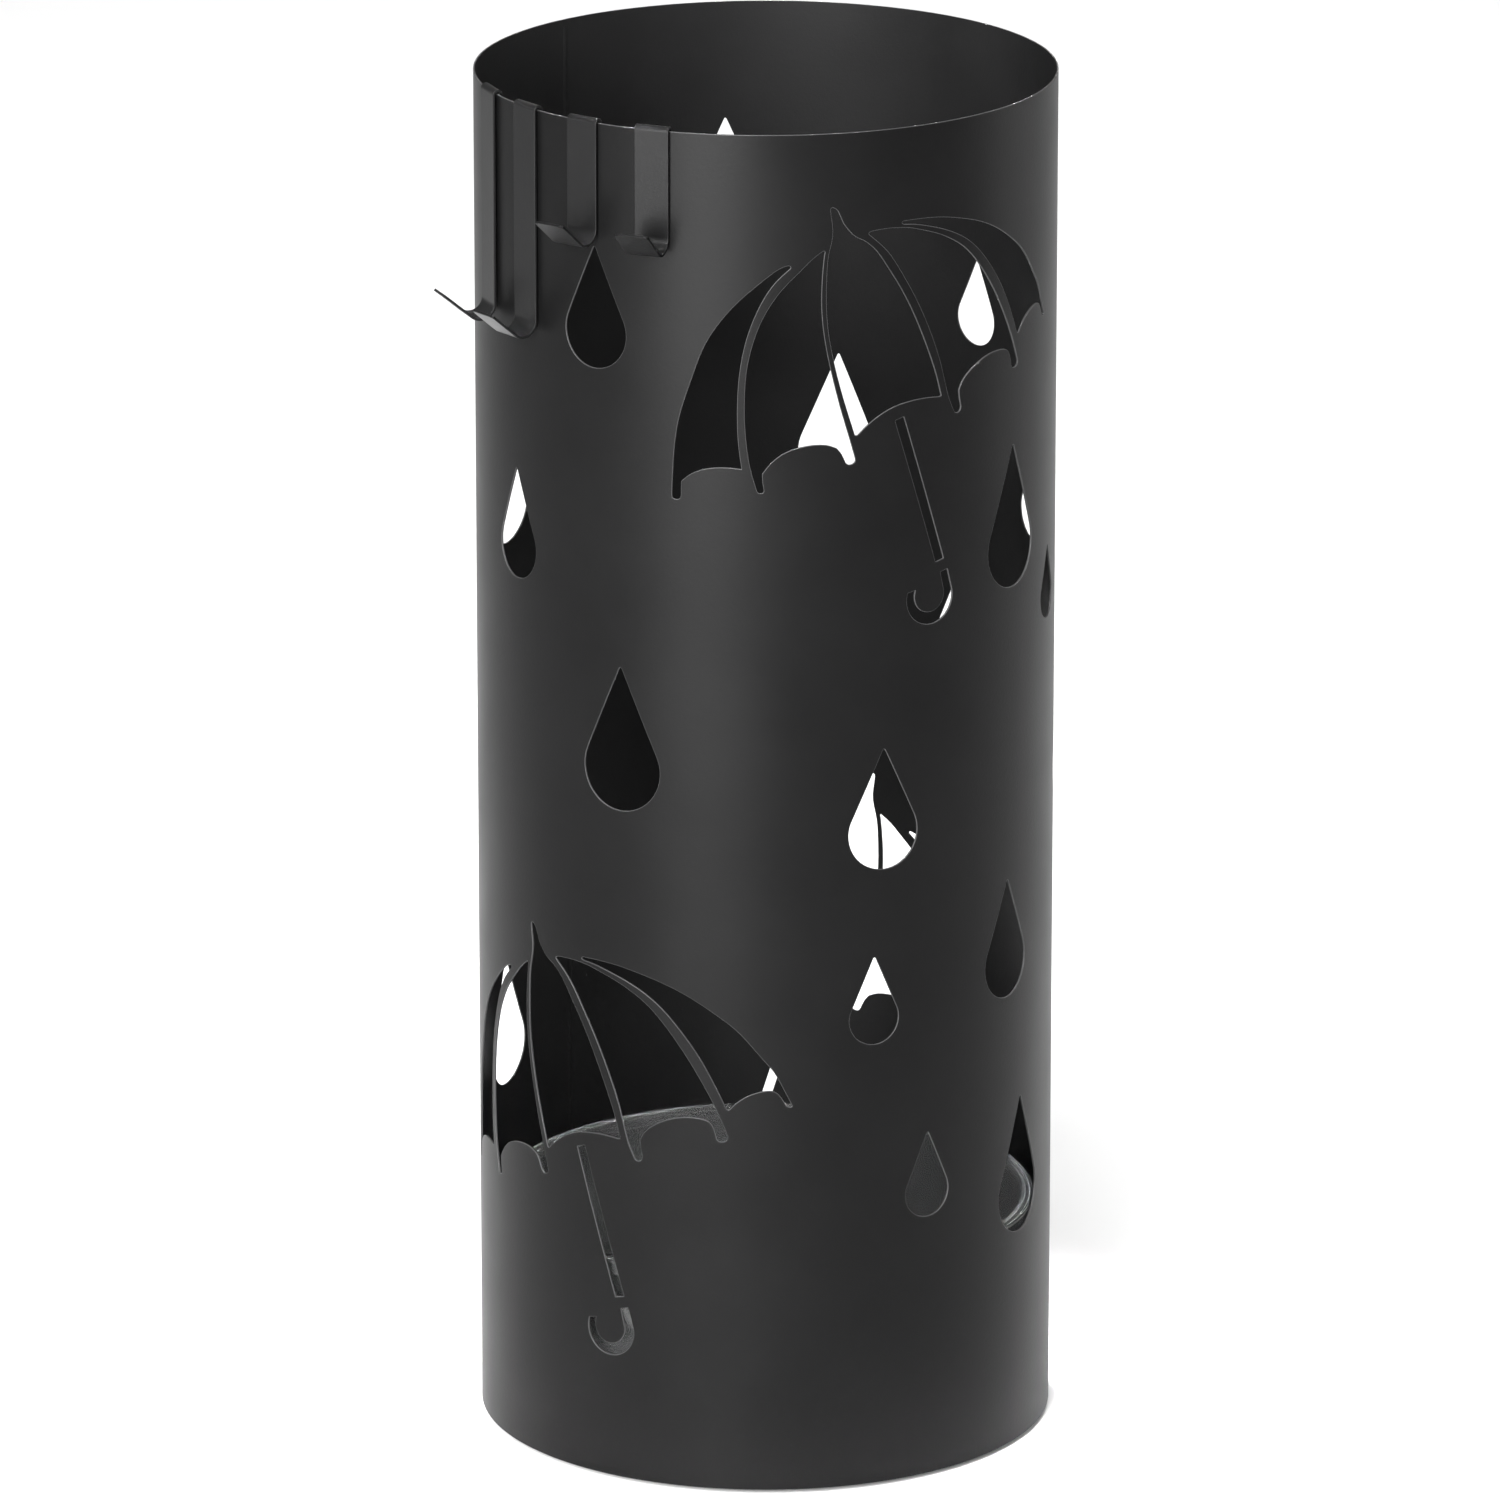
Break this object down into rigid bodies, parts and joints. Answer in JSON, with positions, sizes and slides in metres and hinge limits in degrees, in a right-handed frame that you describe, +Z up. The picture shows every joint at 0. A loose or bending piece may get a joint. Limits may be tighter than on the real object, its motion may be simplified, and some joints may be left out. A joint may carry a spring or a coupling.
{
  "type": "umbrella stand",
  "caption": "Tall round sheet-metal umbrella stand with umbrella and raindrop cut-outs, hooks over the rim and a lift-out clear drip tray.",
  "frame": {"origin": "centre of the round foot, at floor level under the foot pads", "axes": "+Z up the shell's axis; -Y the side shown to the viewer, with the hooks on its -X side"},
  "size_m": [0.2076, 0.207, 0.4715],
  "materials": {
    "powder_coat": "matte black powder coat, fine grain",
    "hook_coat": "satin black powder coat",
    "clear_plastic": "clear, glossy",
    "foot_rubber": "matte"
  },
  "bodies": {
    "stand": {"body_shell": "powder_coat", "seam_weld": "powder_coat", "base_plate": "powder_coat", "base_welds": "powder_coat", "foot_pads": "foot_rubber"},
    "tray": {"drip_tray": "clear_plastic"},
    "long_hook_outer": {"hook_long_outer": "hook_coat"},
    "long_hook_inner": {"hook_long_inner": "hook_coat"},
    "short_hook_outer": {"hook_short_outer": "hook_coat"},
    "short_hook_inner": {"hook_short_inner": "hook_coat"}
  },
  "joints": [
    {"name": "tray_lift", "type": "slide", "parent": "stand", "child": "tray", "axis": [0, 0, 1], "range_m": [0, 0.5]},
    {"name": "long_outer_lift", "type": "slide", "parent": "stand", "child": "long_hook_outer", "axis": [0, 0, 1], "range_m": [0, 0.1]},
    {"name": "long_inner_lift", "type": "slide", "parent": "stand", "child": "long_hook_inner", "axis": [0, 0, 1], "range_m": [0, 0.1]},
    {"name": "short_outer_lift", "type": "slide", "parent": "stand", "child": "short_hook_outer", "axis": [0, 0, 1], "range_m": [0, 0.06]},
    {"name": "short_inner_lift", "type": "slide", "parent": "stand", "child": "short_hook_inner", "axis": [0, 0, 1], "range_m": [0, 0.06]}
  ]
}
